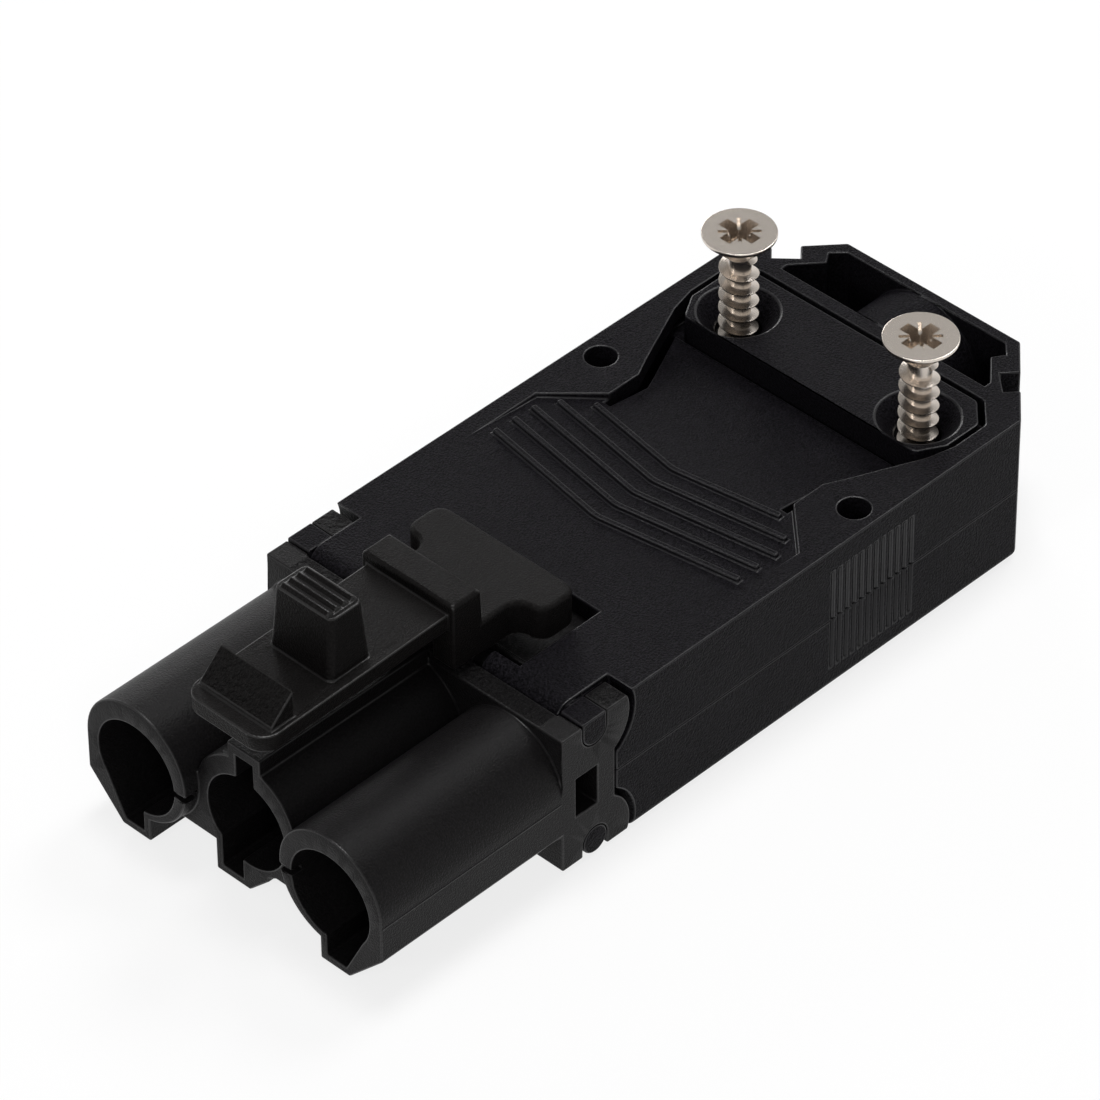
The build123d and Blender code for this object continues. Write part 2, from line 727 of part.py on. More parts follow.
# Lower shell: floor, sides and cable end, with the screw bosses and the cable cradle
with BuildPart() as lower_shell:
    with BuildSketch(above(-half_height)):
        Polygon(*shell_plan, align=None)
    extrude(amount=half_height)
    bottom = lower_shell.faces().sort_by(Axis.Z)[0]
    fillet(bottom.edges().sort_by(Axis.Y)[1:], bottom_round)
    with BuildSketch(above(-inner_height)):
        with Locations((0, bay_rear / 2)):
            Rectangle(2 * inner_half_width, bay_rear)
    extrude(amount=inner_height, mode=Mode.SUBTRACT)
    mirror(ear_clearance.part, about=parting_plane, mode=Mode.SUBTRACT)
    mirror(hinge_nose.part, about=parting_plane)
    with BuildSketch(above(0)):
        for groove in range(grip_count):
            for side in (1, -1):
                with Locations((side * half_width, grip_first + groove * grip_pitch)):
                    Rectangle(2 * grip_depth, grip_width)
    extrude(amount=-grip_height, mode=Mode.SUBTRACT)
    # Bosses that the clamp screws cut their thread in
    with BuildSketch(above(-inner_height)):
        with Locations((screw_x, screw_distance), (-screw_x, screw_distance)):
            Circle(screw_boss_radius)
    extrude(amount=inner_height - running_gap)
    # Cradle under the cable, with cross ribs in its trough
    with BuildSketch(across(cradle_middle - cradle_length / 2)):
        with Locations((0, -(inner_height + cradle_top) / 2)):
            Rectangle(2 * ledge_inner_x, inner_height - cradle_top)
        with Locations((0, outlet_rise)):
            Circle(outlet_radius + vault_wall + cradle_rib_height, mode=Mode.SUBTRACT)
    extrude(amount=-cradle_length)
    for rib in range(cradle_rib_count):
        rib_distance = cradle_middle + (rib + 0.5 - cradle_rib_count / 2) * cradle_length / cradle_rib_count
        with BuildSketch(across(rib_distance - cradle_rib_width / 2)):
            with Locations((0, -(inner_height + cradle_top) / 2)):
                Rectangle(2 * ledge_inner_x, inner_height - cradle_top)
            with Locations((0, outlet_rise)):
                Circle(outlet_radius + vault_wall, mode=Mode.SUBTRACT)
        extrude(amount=-cradle_rib_width)
    with BuildSketch(above(-half_height + boss_floor)):
        with Locations((screw_x, screw_distance), (-screw_x, screw_distance)):
            Circle(screw_thread_radius + screw_thread_fit)
    extrude(amount=half_height, mode=Mode.SUBTRACT)
    # Lower half of the cable outlet
    with BuildSketch(across(bay_rear - 1)):
        with Locations((0, -outlet_drop)):
            Circle(outlet_radius)
        with Locations((0, -outlet_drop / 2)):
            Rectangle(2 * outlet_radius, outlet_drop)
        with Locations((0, -half_height / 2)):
            Rectangle(body_width, half_height, mode=Mode.INTERSECT)
    extrude(amount=bay_rear - body_length - 2, mode=Mode.SUBTRACT)
keep(lower_shell, "lower_shell")

# Clamping bar: hexagonal plate with two countersunk holes and an arched pad for the cable
with BuildPart(above(bar_top)) as clamp_bar:
    with BuildSketch(above(bar_under)) as bar_outline:
        Polygon(*both_sides([
            (bar_half_width - 1.3, bar_front),
            (bar_half_width, bar_front + 2.2),
            (bar_half_width, bar_rear - 2.0),
            (bar_half_width - 1.9, bar_rear),
        ]), align=None)
        fillet(bar_outline.vertices(), bay_round)
    extrude(amount=bar_thickness)
    with BuildSketch(across(pad_middle - pad_length / 2)):
        with Locations((0, bar_under - pad_drop / 2)):
            Rectangle(2 * pad_half_width, pad_drop)
        with Locations((0, bar_under - pad_drop - pad_arch_radius + 1)):
            Circle(pad_arch_radius, mode=Mode.SUBTRACT)
    extrude(amount=-pad_length)
    with Locations((screw_x, screw_distance, 0), (-screw_x, screw_distance, 0)):
        CounterSinkHole(screw_clearance_radius, screw_head_radius + running_gap + screw_seat_depth)
keep(clamp_bar, "clamp_bar")


def clamp_screw(x, name):
    """Clamp screw, raised out of its seat: countersunk head, shank and a tapered tip."""
    top = bar_top + screw_lift
    axis_plane = Plane(
        origin=(x, flange_y + screw_distance, parting_z + top), x_dir=(1, 0, 0), z_dir=(0, -1, 0)
    )
    points = [
        (0, 0),
        (screw_head_radius, 0),
        (screw_head_radius, -screw_head_rim),
        (screw_core_radius, -screw_head_rim - screw_cone),
        (screw_core_radius, -screw_head_rim - screw_cone - 0.3),
        (screw_thread_radius, -screw_head_rim - screw_cone - 0.3),
        (screw_thread_radius, screw_tip_length - screw_length),
        (screw_core_radius * 0.7, -screw_length),
        (0, -screw_length),
    ]
    with BuildPart() as screw:
        with BuildSketch(axis_plane):
            Polygon(*points, align=None)
        revolve(axis=Axis((x, flange_y + screw_distance, 0), (0, 0, 1)))
        with BuildSketch(above(top)):
            with Locations((x, screw_distance)):
                Rectangle(recess_length, recess_width)
                Rectangle(recess_width, recess_length)
        extrude(amount=-recess_depth, mode=Mode.SUBTRACT)
    keep(screw, name)


clamp_screw(-screw_x, "clamp_screw_left")
clamp_screw(screw_x, "clamp_screw_right")

# Latch lever: arm with ramp and knob in front, bridge on two legs, and a T-shaped tail
with BuildPart() as latch_lever:
    # Tail, from the bridge to the rounded wings
    with BuildSketch(above(tail_under)):
        with BuildLine():
            wing_front = tail_neck + tail_curve
            Line((-bridge_width / 2, -bridge_front), (bridge_width / 2, -bridge_front))
            Line((bridge_width / 2, -bridge_front), (bridge_width / 2, tail_neck))
            RadiusArc(
                (bridge_width / 2, tail_neck), (bridge_width / 2 + tail_curve, wing_front), tail_curve
            )
            RadiusArc(
                (bridge_width / 2 + tail_curve, wing_front), (tail_half_width, wing_front + tail_curve),
                -tail_curve
            )
            Line((tail_half_width, wing_front + tail_curve), (tail_half_width, tail_rear - tail_curve))
            RadiusArc(
                (tail_half_width, tail_rear - tail_curve), (tail_half_width - tail_curve, tail_rear),
                -tail_curve
            )
            Line((tail_half_width - tail_curve, tail_rear), (tail_curve - tail_half_width, tail_rear))
            RadiusArc(
                (tail_curve - tail_half_width, tail_rear), (-tail_half_width, tail_rear - tail_curve),
                -tail_curve
            )
            Line((-tail_half_width, tail_rear - tail_curve), (-tail_half_width, wing_front + tail_curve))
            RadiusArc(
                (-tail_half_width, wing_front + tail_curve), (-bridge_width / 2 - tail_curve, wing_front),
                -tail_curve
            )
            RadiusArc(
                (-bridge_width / 2 - tail_curve, wing_front), (-bridge_width / 2, tail_neck), tail_curve
            )
            Line((-bridge_width / 2, tail_neck), (-bridge_width / 2, -bridge_front))
        make_face()
    extrude(amount=tail_top - tail_under)
    fillet(latch_lever.faces().sort_by(Axis.Z)[-1].edges(), tail_round)
    # Bridge
    with BuildSketch(beside(-bridge_width / 2)):
        with Locations(((bridge_rear - bridge_front) / 2, (bridge_top + tail_under) / 2)):
            Rectangle(bridge_rear + bridge_front, bridge_top - tail_under)
    extrude(amount=bridge_width)
    fillet(latch_lever.faces().sort_by(Axis.Z)[-1].edges(), bridge_round)
    with BuildSketch(beside(-bridge_width / 2)):
        with Locations(((bridge_rear - bridge_front) / 2, tail_under)):
            Rectangle(bridge_rear + bridge_front, 2 * (bridge_under - tail_under))
    extrude(amount=bridge_width, mode=Mode.SUBTRACT)
    # Open middle between the two legs
    with BuildSketch(across(-bridge_front)):
        with Locations((0, (leg_gap_top + tail_under) / 2)):
            Rectangle(bridge_width - 2 * leg_width, leg_gap_top - tail_under)
    extrude(amount=-(bridge_front + bridge_rear), mode=Mode.SUBTRACT)
    # Arm, rising slightly towards the bridge
    arm_slope = (lever_arm_under_rear - lever_arm_under_front) / (lever_arm_front - bridge_front)
    with BuildSketch(beside(-lever_arm_width / 2)):
        Polygon(
            (-lever_arm_front, lever_arm_under_front),
            (0, lever_arm_under_rear),
            (0, lever_arm_under_rear + lever_arm_thickness),
            (-lever_arm_front, lever_arm_under_front + lever_arm_thickness),
            align=None,
        )
    extrude(amount=lever_arm_width)
    corners = latch_lever.edges().filter_by(Axis.Z).group_by(Axis.Y)[0]
    fillet(corners, lever_corner)
    # Ramp, narrower at its foot
    with BuildSketch(beside(-ramp_width / 2)):
        Polygon(
            (-ramp_front, ramp_front_top - lever_arm_thickness),
            (-ramp_front, ramp_front_top),
            (-ramp_rear, ramp_top),
            (-ramp_rear, ramp_front_top - lever_arm_thickness),
            align=None,
        )
    extrude(amount=ramp_width)
    # Knob with ridges across its top
    arm_top = lever_arm_under_front + lever_arm_thickness
    with BuildSketch(above(arm_top - lever_arm_thickness / 2)):
        with Locations((0, -(knob_front + knob_rear) / 2)):
            RectangleRounded(knob_width, knob_front - knob_rear, knob_round)
    with BuildSketch(above(knob_top)):
        with Locations((0, -(knob_front + knob_rear) / 2)):
            RectangleRounded(knob_width - knob_taper, knob_front - knob_rear - 2 * knob_taper, knob_round)
    loft()
    ridge_pitch = (knob_front - knob_rear - 2 * knob_taper) / ridge_count
    with BuildSketch(beside(-(knob_width - knob_taper) / 2 + knob_round)):
        for ridge in range(ridge_count):
            start = -knob_front + knob_taper + ridge * ridge_pitch
            Polygon(
                (start, knob_top),
                (start + ridge_pitch / 2, knob_top + ridge_height),
                (start + ridge_pitch, knob_top),
                align=None,
            )
    extrude(amount=knob_width - knob_taper - 2 * knob_round)
    # Stem and the two clips that hold the axle
    for side in (1, -1):
        with BuildSketch(beside(side * lug_x)):
            with Locations(((stem_front + stem_rear) / 2, (hinge_height + tail_under) / 2)):
                Rectangle(stem_rear - stem_front, tail_under - hinge_height)
            with Locations((hinge_distance, hinge_height)):
                Circle(lug_radius)
        extrude(amount=lug_width / 2, both=True)
        with BuildSketch(beside(side * lug_x)):
            with Locations((hinge_distance, hinge_height)):
                Circle(axle_radius + axle_fit)
            with Locations((hinge_distance, hinge_height - lug_radius)):
                Rectangle(1.7 * axle_radius, 2 * lug_radius)
        extrude(amount=lug_width / 2, both=True, mode=Mode.SUBTRACT)
keep(latch_lever, "latch_lever")
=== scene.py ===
import json
import math

import bpy
from bpy.props import FloatProperty, FloatVectorProperty, IntProperty, PointerProperty
from mathutils import Matrix, Vector

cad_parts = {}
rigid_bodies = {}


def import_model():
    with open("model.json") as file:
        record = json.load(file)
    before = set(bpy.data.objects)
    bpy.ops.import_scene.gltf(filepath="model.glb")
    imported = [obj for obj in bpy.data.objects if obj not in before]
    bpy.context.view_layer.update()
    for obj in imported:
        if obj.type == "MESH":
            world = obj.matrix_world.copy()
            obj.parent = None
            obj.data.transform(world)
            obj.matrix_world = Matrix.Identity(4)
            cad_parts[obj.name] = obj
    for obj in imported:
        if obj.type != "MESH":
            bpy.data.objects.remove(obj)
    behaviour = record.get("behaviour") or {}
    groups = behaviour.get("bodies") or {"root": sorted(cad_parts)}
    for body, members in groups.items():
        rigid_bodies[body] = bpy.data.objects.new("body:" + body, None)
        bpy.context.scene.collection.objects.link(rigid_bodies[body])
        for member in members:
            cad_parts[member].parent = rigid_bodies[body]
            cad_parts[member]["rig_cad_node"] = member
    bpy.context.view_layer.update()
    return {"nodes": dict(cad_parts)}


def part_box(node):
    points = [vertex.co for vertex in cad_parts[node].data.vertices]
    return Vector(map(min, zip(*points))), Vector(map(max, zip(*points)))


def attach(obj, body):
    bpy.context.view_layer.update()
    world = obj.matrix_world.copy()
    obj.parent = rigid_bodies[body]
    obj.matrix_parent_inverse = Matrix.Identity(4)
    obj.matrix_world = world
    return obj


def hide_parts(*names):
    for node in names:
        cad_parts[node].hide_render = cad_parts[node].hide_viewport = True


bl_info = {
    "name": "Rewireable power connector",
    "version": (1, 0, 0),
    "blender": (4, 5, 0),
    "location": "3D View > Sidebar > Connector",
    "description": "Dresses the connector's moulded shells, latch, contacts and clamp screws",
    "category": "Object",
}

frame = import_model()
MM = 0.001
# Vertices nearer than this are one vertex
MERGE_DISTANCE = 0.000001
# Edges sharper than this are rounded, and stay creases in the shading
CREASE_ANGLE = math.radians(32)
# A face whose normal has less height than this faces down
FACES_DOWN = -0.9

# The moulded pieces: which finish each has, the body it moves with and its material slot
MOULDED = {
    "contact_block": ("block", "housing", "block_plastic"),
    "upper_shell": ("shell", "housing", "shell_plastic"),
    "lower_shell": ("shell", "lower_shell", "shell_plastic"),
    "latch_lever": ("lever", "latch_lever", "block_plastic"),
    "clamp_bar": ("shell", "clamp_bar", "shell_plastic"),
}

# Boxes in millimetres where a moulding was torn from its gate: the lever's ramp, and the
# flange's top strip with both ears
TORN_ZONES = {
    "lever": (((-3.8, -36.2, 18.2), (3.8, -33.7, 20.7)),),
    "block": (
        ((-12.6, -18.8, 12.7), (12.6, -16.2, 13.1)),
        ((12.6, -15.0, 12.9), (15.1, -12.0, 13.3)),
        ((-15.1, -15.0, 12.9), (-12.6, -12.0, 13.3)),
    ),
}

# Soft lamps: name, place in metres, side of the square in metres and power in watts
LAMPS = (
    ("softbox_above", (-0.06, 0.04, 0.60), 0.16, 1.1),
    ("softbox_back_left", (-0.50, 0.34, 0.24), 0.16, 0.5),
    ("softbox_back", (-0.04, 0.36, 0.50), 0.20, 0.8),
    ("softbox_front", (0.02, -0.60, 0.34), 0.16, 0.5),
    ("softbox_camera", (0.42, -0.34, 0.44), 0.10, 0.3),
)
LAMP_TARGET = Vector((0, 0, 0.008))

# The camera looks at this point, moved across and up its picture by the shift
CAMERA_TARGET = Vector((0, 1.3, 6.7)) * MM
CAMERA_SHIFT = Vector((-4.066, 2.340)) * MM


class ConnectorFinish(bpy.types.PropertyGroup):
    shell_colour: FloatVectorProperty(
        name="Shell colour", description="Colour of both shells and the clamp bar",
        subtype="COLOR", size=3, min=0, max=1, default=(0.0056, 0.0051, 0.0064),
    )
    block_colour: FloatVectorProperty(
        name="Block colour", description="Colour of the contact block with its tubes",
        subtype="COLOR", size=3, min=0, max=1, default=(0.0068, 0.0063, 0.0066),
    )
    lever_colour: FloatVectorProperty(
        name="Lever colour", description="Colour of the latch lever",
        subtype="COLOR", size=3, min=0, max=1, default=(0.0066, 0.0060, 0.0059),
    )
    plating_colour: FloatVectorProperty(
        name="Plating colour", description="Colour of the nickel plating on the screws",
        subtype="COLOR", size=3, min=0, max=1, default=(0.64, 0.58, 0.52),
    )
    plastic_roughness: FloatProperty(
        name="Plastic roughness", description="Roughness of the moulded surfaces",
        min=0, max=1, default=0.38,
    )
    grain_size: FloatProperty(
        name="Grain size", description="Size of the moulded grain on the shells",
        subtype="DISTANCE", unit="LENGTH", min=0.00001, default=0.00017,
    )
    # The edges' lighter colour is a painted highlight; their sheen below is a real specular level
    edge_highlight: FloatProperty(
        name="Edge lift", description="How much lighter the rubbed edges are than the faces",
        min=0, default=1.1,
    )
    edge_sheen: FloatProperty(
        name="Edge sheen", description="Specular level of the rubbed edges",
        min=0, max=1, default=0.26,
    )
    seam_height: FloatProperty(
        name="Seam height", description="Height of the mould's parting line on the outer tubes",
        subtype="DISTANCE", unit="LENGTH", default=0.00705,
    )
    seam_width: FloatProperty(
        name="Seam width", description="Width of the ridge that the parting line leaves",
        subtype="DISTANCE", unit="LENGTH", default=0.00010,
    )
    tube_length: FloatProperty(
        name="Tube length", description="How far the outer tubes stand out of the flange",
        subtype="DISTANCE", unit="LENGTH", default=0.0182,
    )
    slit_start: FloatProperty(
        name="Slit start", description="Distance from the middle to the near side of each tube's slit",
        subtype="DISTANCE", unit="LENGTH", default=0.0047,
    )
    slit_end: FloatProperty(
        name="Slit end", description="Distance from the middle to the far side of each tube's slit",
        subtype="DISTANCE", unit="LENGTH", default=0.0064,
    )
    slit_height: FloatProperty(
        name="Slit height", description="Height of the slit in the inner wall of each outer tube",
        subtype="DISTANCE", unit="LENGTH", default=0.0005,
    )
    slit_depth: FloatProperty(
        name="Slit depth", description="Depth of the slit behind the mouth of each outer tube",
        subtype="DISTANCE", unit="LENGTH", default=0.0011,
    )
    edge_radius: FloatProperty(
        name="Edge radius", description="Rounding of the edges of the moulded pieces",
        subtype="DISTANCE", unit="LENGTH", min=0, default=0.00013,
    )


class ClampScrewSizes(bpy.types.PropertyGroup):
    head_radius: FloatProperty(
        name="Head radius", description="Radius of the countersunk head",
        subtype="DISTANCE", unit="LENGTH", default=0.0029,
    )
    head_rim: FloatProperty(
        name="Rim height", description="Height of the straight rim of the head",
        subtype="DISTANCE", unit="LENGTH", default=0.00028,
    )
    core_radius: FloatProperty(
        name="Core radius", description="Radius of the shank between the threads",
        subtype="DISTANCE", unit="LENGTH", default=0.00095,
    )
    thread_radius: FloatProperty(
        name="Thread radius", description="Outer radius of the thread",
        subtype="DISTANCE", unit="LENGTH", default=0.00155,
    )
    pitch: FloatProperty(
        name="Pitch", description="Rise of the thread in one turn",
        subtype="DISTANCE", unit="LENGTH", default=0.00128,
    )
    turns: IntProperty(
        name="Turns", description="Number of turns of the thread", min=1, default=7,
    )
    length: FloatProperty(
        name="Length", description="Length from the top of the head to the tip",
        subtype="DISTANCE", unit="LENGTH", default=0.012,
    )
    recess_length: FloatProperty(
        name="Recess length", description="Length of each arm of the cross recess",
        subtype="DISTANCE", unit="LENGTH", default=0.0044,
    )
    recess_depth: FloatProperty(
        name="Recess depth", description="Depth of the cross recess",
        subtype="DISTANCE", unit="LENGTH", default=0.0016,
    )


class StudioSettings(bpy.types.PropertyGroup):
    azimuth: FloatProperty(
        name="Azimuth", description="Angle of the camera around the connector, in degrees",
        default=44.476,
    )
    elevation: FloatProperty(
        name="Elevation", description="Angle of the camera above the floor, in degrees",
        default=40.245,
    )
    roll: FloatProperty(
        name="Roll", description="Turn of the camera about its line of sight, in degrees",
        default=-0.487,
    )
    distance: FloatProperty(
        name="Distance", description="Distance from the camera to the connector",
        subtype="DISTANCE", unit="LENGTH", default=0.53141,
    )
    focal_length: FloatProperty(
        name="Focal length", description="Focal length on a 36 mm sensor, in millimetres",
        default=235.76,
    )
    floor_colour: FloatVectorProperty(
        name="Floor colour", description="Colour of the floor",
        subtype="COLOR", size=3, min=0, max=1, default=(0.90, 0.90, 0.90),
    )
    floor_wash: FloatProperty(
        name="Floor wash", description="How far the floor is washed out to white where it is seen",
        min=0, max=1, default=0.80,
    )
    world_level: FloatProperty(
        name="World level", description="Strength of the light from all around",
        min=0, default=0.24,
    )
    ceiling_level: FloatProperty(
        name="Ceiling level", description="Strength of the backdrop overhead, as mirrors show it",
        min=0, default=0.32,
    )
    light_level: FloatProperty(
        name="Light level", description="Multiplies the power of every lamp",
        min=0, default=1.5,
    )


def node_material(name):
    """A fresh material with its shader."""
    material = bpy.data.materials.new(name)
    material.use_nodes = True
    return material, material.node_tree.nodes["Principled BSDF"]


def add_grain(nodes, links, coordinates, size, detail=2.0):
    """Fine noise of a given size, for bumps and changes of gloss and colour."""
    grain = nodes.new("ShaderNodeTexNoise")
    grain.inputs["Scale"].default_value = 1.0 / size
    grain.inputs["Detail"].default_value = detail
    grain.inputs["Roughness"].default_value = 0.6
    links.new(coordinates, grain.inputs["Vector"])
    return grain.outputs["Fac"]


def inside(nodes, links, coordinates, low, high):
    """One inside a box given by two corners in millimetres, and nought outside it."""
    middle = (Vector(low) + Vector(high)) / 2 * MM
    half = (Vector(high) - Vector(low)) / 2 * MM
    value = coordinates
    for operation, vector in (("SUBTRACT", middle), ("ABSOLUTE", None), ("DIVIDE", half)):
        step = nodes.new("ShaderNodeVectorMath")
        step.operation = operation
        links.new(value, step.inputs[0])
        if vector is not None:
            step.inputs[1].default_value = vector
        value = step.outputs["Vector"]
    parts = nodes.new("ShaderNodeSeparateXYZ")
    links.new(value, parts.inputs["Vector"])
    furthest = parts.outputs["X"]
    for other in ("Y", "Z"):
        larger = nodes.new("ShaderNodeMath")
        larger.operation = "MAXIMUM"
        links.new(furthest, larger.inputs[0])
        links.new(parts.outputs[other], larger.inputs[1])
        furthest = larger.outputs["Value"]
    within = nodes.new("ShaderNodeMath")
    within.operation = "LESS_THAN"
    links.new(furthest, within.inputs[0])
    within.inputs[1].default_value = 1.0
    return within.outputs["Value"]


def roughen(material, zones, size=0.0004, height=0.0007):
    """Coarse torn texture, as where a moulding was cut from its gate, inside some boxes."""
    nodes, links = material.node_tree.nodes, material.node_tree.links
    shader = nodes["Principled BSDF"]
    coordinates = next(node for node in nodes if node.type == "TEX_COORD").outputs["Object"]
    torn = add_grain(nodes, links, coordinates, size, 3.0)
    normal = shader.inputs["Normal"].links[0].from_socket
    for low, high in zones:
        masked = nodes.new("ShaderNodeMath")
        masked.operation = "MULTIPLY"
        links.new(torn, masked.inputs[0])
        links.new(inside(nodes, links, coordinates, low, high), masked.inputs[1])
        bump = nodes.new("ShaderNodeBump")
        bump.inputs["Distance"].default_value = height
        links.new(masked.outputs["Value"], bump.inputs["Height"])
        links.new(normal, bump.inputs["Normal"])
        normal = bump.outputs["Normal"]
    links.new(normal, shader.inputs["Normal"])


def moulded_plastic(name, colour, roughness, grain_size, grain_height, sheen, speckle):
    """Glass-filled nylon: fine grain with a painted speckle of glints, and a broad soft gloss that changes
    slowly.
    """
    material, shader = node_material(name)
    nodes, links = material.node_tree.nodes, material.node_tree.links
    coordinates = nodes.new("ShaderNodeTexCoord").outputs["Object"]
    cloud = add_grain(nodes, links, coordinates, 0.006, 3.0)
    grain = add_grain(nodes, links, coordinates, grain_size)
    # The grain's high points are painted lighter than its hollows, painted glints of the grain
    grain_glint = nodes.new("ShaderNodeMapRange")
    grain_glint.inputs["From Min"].default_value = 0.38
    grain_glint.inputs["From Max"].default_value = 0.66
    links.new(grain, grain_glint.inputs["Value"])
    tint = nodes.new("ShaderNodeMix")
    tint.data_type = "RGBA"
    tint.inputs["A"].default_value = (*[c * (1 - speckle) for c in colour], 1)
    tint.inputs["B"].default_value = (*[c * (1 + 2 * speckle) for c in colour], 1)
    links.new(grain_glint.outputs["Result"], tint.inputs["Factor"])
    links.new(tint.outputs["Result"], shader.inputs["Base Color"])
    gloss = nodes.new("ShaderNodeMapRange")
    gloss.inputs["To Min"].default_value = roughness - 0.05
    gloss.inputs["To Max"].default_value = roughness + 0.07
    links.new(cloud, gloss.inputs["Value"])
    links.new(gloss.outputs["Result"], shader.inputs["Roughness"])
    bump = nodes.new("ShaderNodeBump")
    bump.inputs["Distance"].default_value = grain_height
    links.new(grain, bump.inputs["Height"])
    links.new(bump.outputs["Normal"], shader.inputs["Normal"])
    shader.inputs["IOR"].default_value = 1.5
    shader.inputs["Specular IOR Level"].default_value = sheen
    return material


def metal(name, colour, roughness):
    """Plated or bare metal with a satin gloss."""
    material, shader = node_material(name)
    shader.inputs["Base Color"].default_value = (*colour, 1)
    shader.inputs["Metallic"].default_value = 1.0
    shader.inputs["Roughness"].default_value = roughness
    return material


def finish(piece, material):
    """Gives a piece one material all over."""
    piece.data.materials.clear()
    piece.data.materials.append(material)


def only(piece):
    """Selects one object and nothing else."""
    bpy.ops.object.select_all(action="DESELECT")
    piece.select_set(True)
    bpy.context.view_layer.objects.active = piece


def pick_faces(piece, test):
    """Selects the faces whose centre passes a test, and leaves edit mode on."""
    bpy.ops.object.mode_set(mode="EDIT")
    bpy.ops.mesh.select_mode(type="FACE")
    bpy.ops.mesh.select_all(action="DESELECT")
    bpy.ops.object.mode_set(mode="OBJECT")
    for face in piece.data.polygons:
        face.select = test(face.center, face.normal)
    bpy.ops.object.mode_set(mode="EDIT")


def apply_modifier(piece, kind, **settings):
    """Adds a modifier, sets it and applies it."""
    only(piece)
    modifier = piece.modifiers.new(kind.title(), kind)
    for key, value in settings.items():
        setattr(modifier, key, value)
    bpy.ops.object.modifier_apply(modifier=modifier.name)


def pull_back(piece, node, reach):
    """Puts vertices that a bevel threw off farther than a reach back onto the solid."""
    for vertex in piece.data.vertices:
        found, place, normal, index = node.closest_point_on_mesh(vertex.co)
        if found and (vertex.co - place).length > reach:
            vertex.co = place


def settle(piece):
    """Moves a piece's place into its mesh, so that its object sits at the origin."""
    only(piece)
    bpy.ops.object.transform_apply(location=True, rotation=True, scale=True)


class CONNECTOR_OT_mouldings(bpy.types.Operator):
    """Rounds the edges of the moulded pieces and gives them their plastic"""

    bl_idname = "connector.mouldings"
    bl_label = "Moulded pieces"

    def block_between(self, name, low, high):
        """A plain block between two corners, in metres."""
        bpy.ops.object.select_all(action="DESELECT")
        bpy.ops.mesh.primitive_cube_add(size=1, location=(Vector(low) + Vector(high)) / 2)
        block = bpy.context.active_object
        block.name = name
        block.scale = Vector(high) - Vector(low)
        settle(block)
        return block

    def dress_tubes(self, piece, look):
        """The mould's seam along the outer tubes and the slit in each one's inner wall."""
        low, high = (Vector(corner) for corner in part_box("contact_block"))
        ridge = look.seam_width / 2
        flange = low.y + look.tube_length
        for side in (-1, 1):
            inner, outer = sorted((side * look.slit_start, side * look.slit_end))
            slit = self.block_between(
                "tube_slit", (inner, low.y - MM, look.seam_height - look.slit_height),
                (outer, low.y + look.slit_depth, look.seam_height),
            )
            apply_modifier(piece, "BOOLEAN", operation="DIFFERENCE", object=slit, solver="EXACT")
            bpy.data.objects.remove(slit)
        seams = [
            self.block_between(
                "tube_seam", (side - ridge / 2, low.y + 3 * ridge, look.seam_height - ridge),
                (side + ridge / 2, flange - ridge, look.seam_height + ridge),
            )
            for side in (low.x, high.x)
        ]
        return seams

    def execute(self, context):
        look = context.scene.connector_finish
        # Colour, roughness, size and height of the grain, specular level and speckle
        recipes = {
            "shell": (look.shell_colour, look.plastic_roughness, look.grain_size, 0.00016, 0.03, 0.6),
            "block": (look.block_colour, look.plastic_roughness, look.grain_size * 0.9, 0.00006, 0.08, 0.25),
            "lever": (
                look.lever_colour, look.plastic_roughness - 0.04, look.grain_size * 0.9, 0.00008, 0.045, 0.25,
            ),
        }
        plastics = {name: moulded_plastic(f"{name} plastic", *recipe) for name, recipe in recipes.items()}
        # Edges are a little smoother than the grained faces, and their lighter colour is a painted highlight
        # along every bevel and seam
        edges = {
            name: moulded_plastic(
                f"{name} edge", [channel * look.edge_highlight for channel in recipe[0]],
                look.plastic_roughness - 0.08, look.grain_size, 0.00003, look.edge_sheen, 0.25,
            )
            for name, recipe in recipes.items()
        }
        for name, zones in TORN_ZONES.items():
            roughen(plastics[name], zones)
        for name, (plastic, body, slot) in MOULDED.items():
            node = frame["nodes"][name]
            piece = node.copy()
            piece.data = node.data.copy()
            piece.name = f"{name}_moulding"
            del piece["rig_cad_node"]
            piece.parent = None
            context.scene.collection.objects.link(piece)
            only(piece)
            bpy.ops.object.mode_set(mode="EDIT")
            bpy.ops.mesh.select_all(action="SELECT")
            bpy.ops.mesh.remove_doubles(threshold=MERGE_DISTANCE)
            bpy.ops.object.mode_set(mode="OBJECT")
            finish(piece, plastics[plastic])
            piece.data.materials.append(edges[plastic])
            seams = self.dress_tubes(piece, look) if name == "contact_block" else []
            # The bevel's faces take the lighter edge material, a painted highlight along every rounded edge
            apply_modifier(
                piece, "BEVEL", material=1, width=look.edge_radius, segments=2, limit_method="ANGLE",
                angle_limit=CREASE_ANGLE, use_clamp_overlap=False, loop_slide=False,
                face_strength_mode="FSTR_ALL",
            )
            pull_back(piece, node, look.edge_radius / 2)
            only(piece)
            bpy.ops.object.shade_smooth_by_angle(angle=CREASE_ANGLE)
            apply_modifier(piece, "WEIGHTED_NORMAL", keep_sharp=True, use_face_influence=True)
            # The seam ridges take the lighter edge material too, a painted highlight along them
            for seam in seams:
                finish(seam, edges[plastic])
                only(piece)
                seam.select_set(True)
                bpy.ops.object.join()
            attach(piece, body)
            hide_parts(name)
        return {"FINISHED"}


